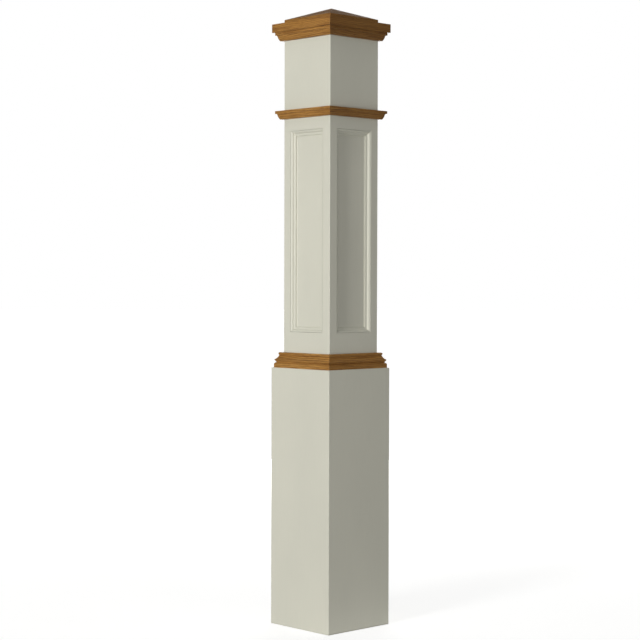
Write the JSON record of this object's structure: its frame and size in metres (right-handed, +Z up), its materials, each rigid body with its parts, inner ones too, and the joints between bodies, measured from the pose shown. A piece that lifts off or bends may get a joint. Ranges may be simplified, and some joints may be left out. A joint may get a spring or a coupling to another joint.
{
  "type": "newel post",
  "caption": "Square hollow box newel post with recessed panelled faces, a wider boxed base, oak mouldings and a low pyramid cap.",
  "frame": {"origin": "on the floor at the post's centre line, in the plane of its open underside", "axes": "+Z up along the post to the cap's tip, front face towards -Y, right face towards +X"},
  "size_m": [0.19, 0.19, 1.396],
  "materials": {
    "painted_wood": "satin cream paint",
    "stained_oak": "satin medium oak stain and varnish"
  },
  "bodies": {
    "root": {"front_base_board": "painted_wood", "front_shaft_board": "painted_wood", "front_panel": "painted_wood", "front_base_moulding": "stained_oak", "front_neck_moulding": "stained_oak", "front_cap_moulding": "stained_oak", "front_cap_fascia": "stained_oak", "right_base_board": "painted_wood", "right_shaft_board": "painted_wood", "right_panel": "painted_wood", "right_base_moulding": "stained_oak", "right_neck_moulding": "stained_oak", "right_cap_moulding": "stained_oak", "right_cap_fascia": "stained_oak", "back_base_board": "painted_wood", "back_shaft_board": "painted_wood", "back_panel": "painted_wood", "back_base_moulding": "stained_oak", "back_neck_moulding": "stained_oak", "back_cap_moulding": "stained_oak", "back_cap_fascia": "stained_oak", "left_base_board": "painted_wood", "left_shaft_board": "painted_wood", "left_panel": "painted_wood", "left_base_moulding": "stained_oak", "left_neck_moulding": "stained_oak", "left_cap_moulding": "stained_oak", "left_cap_fascia": "stained_oak", "front_panel_mould_bottom": "painted_wood", "front_panel_mould_right": "painted_wood", "front_panel_mould_top": "painted_wood", "front_panel_mould_left": "painted_wood", "right_panel_mould_bottom": "painted_wood", "right_panel_mould_right": "painted_wood", "right_panel_mould_top": "painted_wood", "right_panel_mould_left": "painted_wood", "back_panel_mould_bottom": "painted_wood", "back_panel_mould_right": "painted_wood", "back_panel_mould_top": "painted_wood", "back_panel_mould_left": "painted_wood", "left_panel_mould_bottom": "painted_wood", "left_panel_mould_right": "painted_wood", "left_panel_mould_top": "painted_wood", "left_panel_mould_left": "painted_wood", "cap_block": "stained_oak"}
  },
  "joints": []
}
